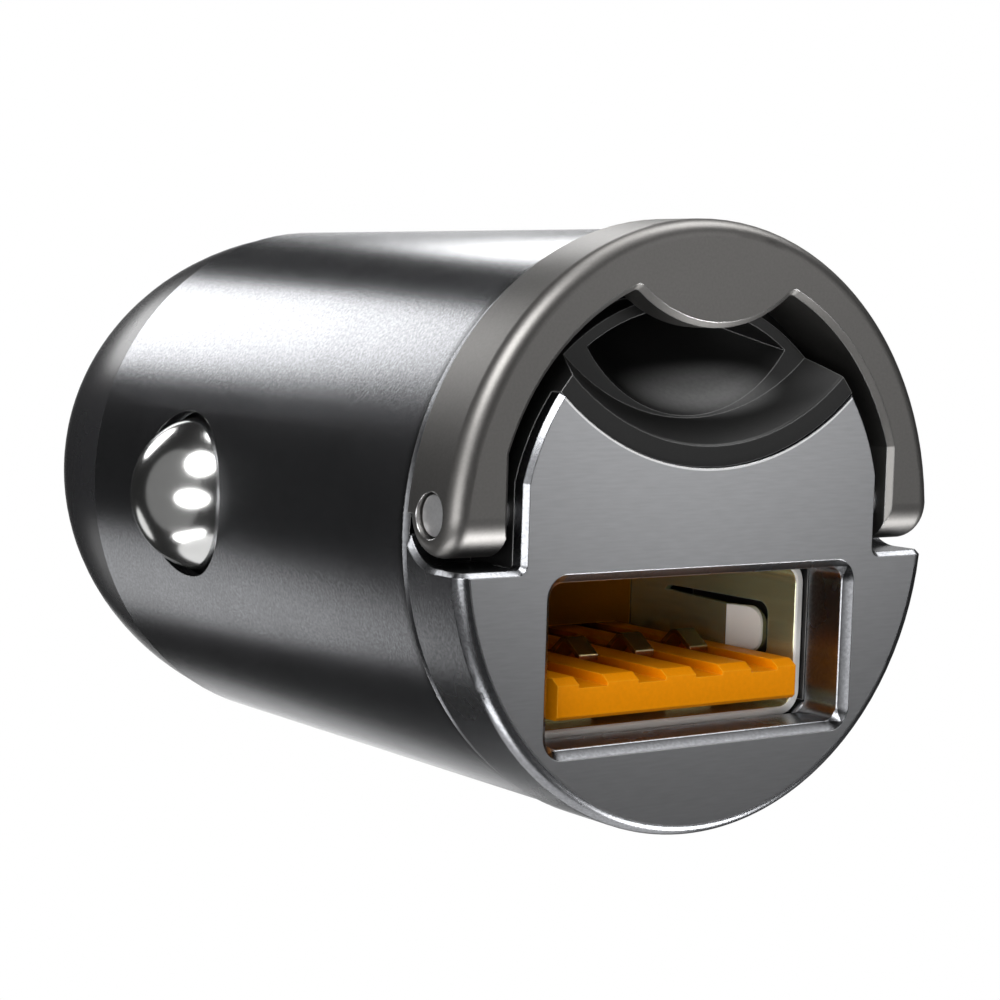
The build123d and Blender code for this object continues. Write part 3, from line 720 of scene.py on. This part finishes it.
# Soft lights: name, degrees from the nose towards the right, degrees up, width and
# height in degrees, and brightness
LAMPS = (
    ("key_light", -8, 26, 24, 23.5, 3.6),
    ("low_back_light", -17.5, -22.5, 19.5, 20, 0.9),
    ("high_rim_light", 29.5, 31, 14.5, 13.5, 5.4),
    ("low_rim_light", 22.5, -21.5, 18.5, 22, 0.7),
    ("left_fill", -92, 5, 90, 112, 0.18),
    ("left_light", -126, -4, 52, 26, 4.0),
    ("high_left_light", -132, 48, 40, 36, 7.0),
    ("low_left_light", -103, -59, 46, 16, 5.0),
    ("front_light", 142, 11, 17, 40, 1.45),
    ("top_light", 80, 76, 34, 34, 3.0),
    ("high_right_light", 98, 53, 28, 28, 5.0),
    ("low_right_light", 128, -46, 26, 20, 12.0),
)
LAMP_DISTANCE = 0.35
LAMP_TARGET = Vector((0, 0.012, 0))

# Floor: corners of its outline, distance of its middle behind the face, distance between
# the paper's fibres, range of its tone, and roughness
FLOOR_CORNERS = 96
FLOOR_MIDDLE = 0.018
PAPER_GRAIN = 0.002
PAPER_TONES = (0.86, 0.9)
PAPER_ROUGHNESS = 0.9

# Half the width of the backdrop's soft edge
BACKDROP_BLUR = math.radians(3)

# Camera: width of the sensor in millimetres, and the nearest and farthest distance shown
SENSOR_WIDTH = 36.0
NEAREST = 0.005
FARTHEST = 10.0


def add_panel_light(name, azimuth, elevation, width, height, radiance):
    """Soft oval light that faces the plug and looks as bright as the radiance says."""
    lamp = bpy.data.lights.new(name, "AREA")
    lamp.shape = "ELLIPSE"
    lamp.size = 2 * LAMP_DISTANCE * math.tan(math.radians(width / 2))
    lamp.size_y = 2 * LAMP_DISTANCE * math.tan(math.radians(height / 2))
    area = math.pi / 4 * lamp.size * lamp.size_y
    lamp.energy = radiance * math.pi * area
    light = bpy.data.objects.new(name, lamp)
    towards = direction(azimuth, elevation)
    light.location = LAMP_TARGET + towards * LAMP_DISTANCE
    light.rotation_euler = towards.to_track_quat("Z", "Y").to_euler()
    bpy.context.scene.collection.objects.link(light)


class PLUG_OT_stage(bpy.types.Operator):
    """Set up the floor, lights, surroundings and camera."""

    bl_idname = "plug.stage"
    bl_label = "Set up stage"

    def execute(self, context):
        s = context.scene.plug_studio
        forward = direction(math.degrees(s.camera_turn), -math.degrees(s.camera_tilt))
        self.add_world(context, s, forward)
        self.add_floor(context, s)
        for lamp in LAMPS:
            add_panel_light(*lamp)
        self.add_camera(context, s, forward)
        return {"FINISHED"}

    def add_world(self, context, s, behind):
        """Dim room, white where it is seen straight, with a white backdrop in reflections."""
        world = bpy.data.worlds.new("studio")
        context.scene.world = world
        world.use_nodes = True
        tree = world.node_tree
        tree.nodes.clear()
        ray = add_node(tree, "ShaderNodeLightPath").outputs
        mirror = maths(tree, "MAXIMUM", ray["Is Glossy Ray"], ray["Is Transmission Ray"])
        look = add_node(tree, "ShaderNodeTexCoord").outputs["Generated"]
        backdrop = map_range(
            tree, vector_maths(tree, "DOT_PRODUCT", look, behind),
            math.cos(s.backdrop_spread + BACKDROP_BLUR),
            math.cos(s.backdrop_spread - BACKDROP_BLUR), s.room_level, 1.0,
        )
        shown = maths(tree, "MAXIMUM", ray["Is Camera Ray"],
                      maths(tree, "MULTIPLY", mirror, backdrop))
        back = add_node(tree, "ShaderNodeBackground", {
            "Color": (1, 1, 1, 1), "Strength": maths(tree, "MAXIMUM", shown, s.room_level),
        })
        add_node(tree, "ShaderNodeOutputWorld", {"Surface": back.outputs["Background"]})

    def add_floor(self, context, s):
        """Round sheet of pale paper under the plug."""
        centre = Vector((0, FLOOR_MIDDLE, -s.floor_drop))
        turns = (2 * math.pi * i / FLOOR_CORNERS for i in range(FLOOR_CORNERS))
        points = [centre + s.floor_radius * Vector((math.cos(turn), math.sin(turn), 0))
                  for turn in turns]
        mesh = bpy.data.meshes.new("floor")
        mesh.from_pydata(points, [], [tuple(range(FLOOR_CORNERS))])
        floor = bpy.data.objects.new("floor", mesh)
        context.scene.collection.objects.link(floor)
        material, tree, shader = new_material("floor_paper")
        join(tree, shader, {
            "Base Color": level(tree, place_noise(tree, PAPER_GRAIN), *PAPER_TONES),
            "Roughness": PAPER_ROUGHNESS,
        })
        mesh.materials.append(material)

    def add_camera(self, context, s, forward):
        """Camera at the photograph's place, with its lens and turn."""
        data = bpy.data.cameras.new("camera")
        data.lens = s.camera_lens
        data.sensor_width = SENSOR_WIDTH
        data.clip_start = NEAREST
        data.clip_end = FARTHEST
        camera = bpy.data.objects.new("camera", data)
        right = forward.cross(Vector((0, 0, 1))).normalized()
        up = right.cross(forward)
        roll_cos = math.cos(s.camera_roll)
        roll_sin = math.sin(s.camera_roll)
        side = roll_cos * right + roll_sin * up
        top = roll_cos * up - roll_sin * right
        turn = Matrix((side, top, -forward)).transposed().to_4x4()
        camera.matrix_world = Matrix.Translation(s.camera_place) @ turn
        context.scene.collection.objects.link(camera)
        context.scene.camera = camera
        context.scene.view_settings.view_transform = "Standard"


class PLUG_PT_panel(bpy.types.Panel):
    """Lists the steps that dress the plug."""

    bl_idname = "PLUG_PT_panel"
    bl_label = "Socket plug"
    bl_space_type = "VIEW_3D"
    bl_region_type = "UI"
    bl_category = "Socket plug"

    def draw(self, context):
        for operator in OPERATORS:
            self.layout.operator(operator.bl_idname)


OPERATORS = (PLUG_OT_casing, PLUG_OT_mouldings, PLUG_OT_contacts, PLUG_OT_board, PLUG_OT_stage)


def register():
    for name, group in SETTINGS.items():
        bpy.utils.register_class(group)
        setattr(bpy.types.Scene, name, PointerProperty(type=group))
    for operator in OPERATORS:
        bpy.utils.register_class(operator)
    bpy.utils.register_class(PLUG_PT_panel)


def unregister():
    bpy.utils.unregister_class(PLUG_PT_panel)
    for operator in reversed(OPERATORS):
        bpy.utils.unregister_class(operator)
    for name, group in reversed(SETTINGS.items()):
        delattr(bpy.types.Scene, name)
        bpy.utils.unregister_class(group)


def main():
    register()
    bpy.ops.plug.casing()
    bpy.ops.plug.mouldings()
    bpy.ops.plug.contacts()
    bpy.ops.plug.board()
    bpy.ops.plug.stage()


if __name__ == "__main__":
    main()
